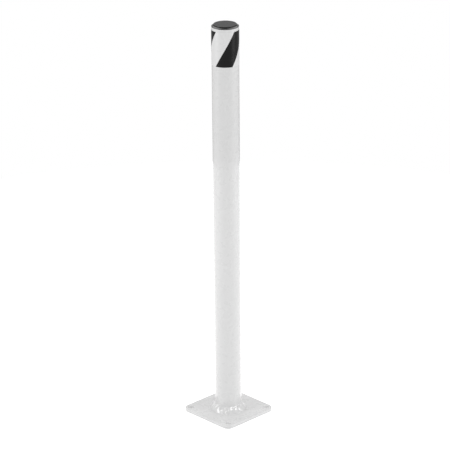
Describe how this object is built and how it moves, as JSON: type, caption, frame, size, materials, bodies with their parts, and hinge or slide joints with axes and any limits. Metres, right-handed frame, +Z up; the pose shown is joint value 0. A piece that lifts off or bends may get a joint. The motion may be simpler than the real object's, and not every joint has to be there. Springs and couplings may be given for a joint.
{
  "type": "steel pipe bollard",
  "caption": "White powder-coated steel pipe welded upright on a square anchor plate, with a push-in black cap and striped reflective tape round its head.",
  "frame": {"origin": "centre of the anchor plate's underside, on the floor", "axes": "+Z up along the pipe, X and Y along the plate's sides"},
  "size_m": [0.15, 0.15, 0.9274],
  "materials": {
    "white_powder_coat": "semi-gloss white powder coat on steel",
    "black_plastic": "fine-grained moulded polyethylene",
    "white_film": "smooth retroreflective film",
    "black_film": "smooth black print on film"
  },
  "bodies": {
    "post": {"base_plate": "white_powder_coat", "pipe": "white_powder_coat", "weld_bead": "white_powder_coat", "reflective_tape": "white_film", "tape_stripes": "black_film"},
    "cap": {"end_cap": "black_plastic"}
  },
  "joints": [
    {"name": "cap_pull", "type": "slide", "parent": "post", "child": "cap", "axis": [0, 0, 1], "range_m": [0, 0.035]}
  ]
}
